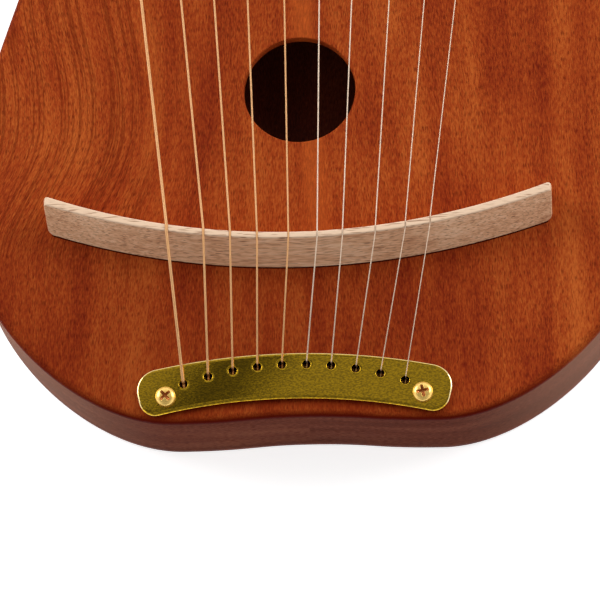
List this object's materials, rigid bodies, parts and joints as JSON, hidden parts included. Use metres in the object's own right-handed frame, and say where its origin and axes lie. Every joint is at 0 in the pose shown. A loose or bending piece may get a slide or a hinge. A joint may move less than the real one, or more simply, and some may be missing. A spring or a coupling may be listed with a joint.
{
  "type": "lyre harp",
  "caption": "Lyre harp with a hollow wooden sound box and open arms, a curved bridge, an arched brass tailpiece, and wire strings tuned by square-headed pins in the head.",
  "frame": {"origin": "centre of the object's own box, at the height of the flat back", "axes": "+Y from the tail towards the head along the strings, +X towards the treble strings, +Z out of the soundboard"},
  "size_m": [0.244, 0.412, 0.059],
  "materials": {
    "mahogany_front": "satin lacquered red-brown mahogany, grain along the strings",
    "mahogany_side": "satin lacquered brown mahogany, grain round the side",
    "mahogany_back": "satin lacquered brown mahogany",
    "maple": "bare wood inside the box",
    "spruce": "bare wood inside the box",
    "beech": "smooth unlacquered beech with short flecks",
    "tailpiece_brass": "polished, faintly grained",
    "screw_brass": "bright plated",
    "ball_brass": "turned",
    "bronze_string": "fine wound wire",
    "steel_string": "bright plain wire",
    "pin_steel": "nickel plated, satin"
  },
  "bodies": {
    "body": {"soundboard": "mahogany_front", "back_plate": "mahogany_back", "rim_left": "mahogany_side", "rim_right": "mahogany_side", "waist_rail": "mahogany_side", "tail_block": "maple", "pin_block": "mahogany_side", "brace_lower": "spruce", "brace_upper": "spruce", "back_brace": "spruce", "bridge": "beech", "tailpiece": "tailpiece_brass", "tailpiece_screw_left": "screw_brass", "tailpiece_screw_right": "screw_brass", "string_1": "bronze_string", "string_2": "bronze_string", "string_3": "bronze_string", "string_4": "bronze_string", "string_5": "bronze_string", "string_6": "steel_string", "string_7": "steel_string", "string_8": "steel_string", "string_9": "steel_string", "string_10": "steel_string", "ball_end_1": "ball_brass", "ball_end_2": "ball_brass", "ball_end_3": "ball_brass", "ball_end_4": "ball_brass", "ball_end_5": "ball_brass", "ball_end_6": "ball_brass", "ball_end_7": "ball_brass", "ball_end_8": "ball_brass", "ball_end_9": "ball_brass", "ball_end_10": "ball_brass"},
    "tuning_pin_1": {"tuning_pin_1": "pin_steel"},
    "tuning_pin_2": {"tuning_pin_2": "pin_steel"},
    "tuning_pin_3": {"tuning_pin_3": "pin_steel"},
    "tuning_pin_4": {"tuning_pin_4": "pin_steel"},
    "tuning_pin_5": {"tuning_pin_5": "pin_steel"},
    "tuning_pin_6": {"tuning_pin_6": "pin_steel"},
    "tuning_pin_7": {"tuning_pin_7": "pin_steel"},
    "tuning_pin_8": {"tuning_pin_8": "pin_steel"},
    "tuning_pin_9": {"tuning_pin_9": "pin_steel"},
    "tuning_pin_10": {"tuning_pin_10": "pin_steel"}
  },
  "joints": [
    {"name": "pin_1_turn", "type": "hinge", "parent": "body", "child": "tuning_pin_1", "pos_m": [-0.08325, 0.17376, 0.038], "axis": [0, 0, 1], "continuous": true},
    {"name": "pin_2_turn", "type": "hinge", "parent": "body", "child": "tuning_pin_2", "pos_m": [-0.06475, 0.17028, 0.038], "axis": [0, 0, 1], "continuous": true},
    {"name": "pin_3_turn", "type": "hinge", "parent": "body", "child": "tuning_pin_3", "pos_m": [-0.04625, 0.16768, 0.038], "axis": [0, 0, 1], "continuous": true},
    {"name": "pin_4_turn", "type": "hinge", "parent": "body", "child": "tuning_pin_4", "pos_m": [-0.02775, 0.16596, 0.038], "axis": [0, 0, 1], "continuous": true},
    {"name": "pin_5_turn", "type": "hinge", "parent": "body", "child": "tuning_pin_5", "pos_m": [-0.00925, 0.16511, 0.038], "axis": [0, 0, 1], "continuous": true},
    {"name": "pin_6_turn", "type": "hinge", "parent": "body", "child": "tuning_pin_6", "pos_m": [0.00925, 0.16511, 0.038], "axis": [0, 0, 1], "continuous": true},
    {"name": "pin_7_turn", "type": "hinge", "parent": "body", "child": "tuning_pin_7", "pos_m": [0.02775, 0.16596, 0.038], "axis": [0, 0, 1], "continuous": true},
    {"name": "pin_8_turn", "type": "hinge", "parent": "body", "child": "tuning_pin_8", "pos_m": [0.04625, 0.16768, 0.038], "axis": [0, 0, 1], "continuous": true},
    {"name": "pin_9_turn", "type": "hinge", "parent": "body", "child": "tuning_pin_9", "pos_m": [0.06475, 0.17028, 0.038], "axis": [0, 0, 1], "continuous": true},
    {"name": "pin_10_turn", "type": "hinge", "parent": "body", "child": "tuning_pin_10", "pos_m": [0.08325, 0.17376, 0.038], "axis": [0, 0, 1], "continuous": true}
  ]
}
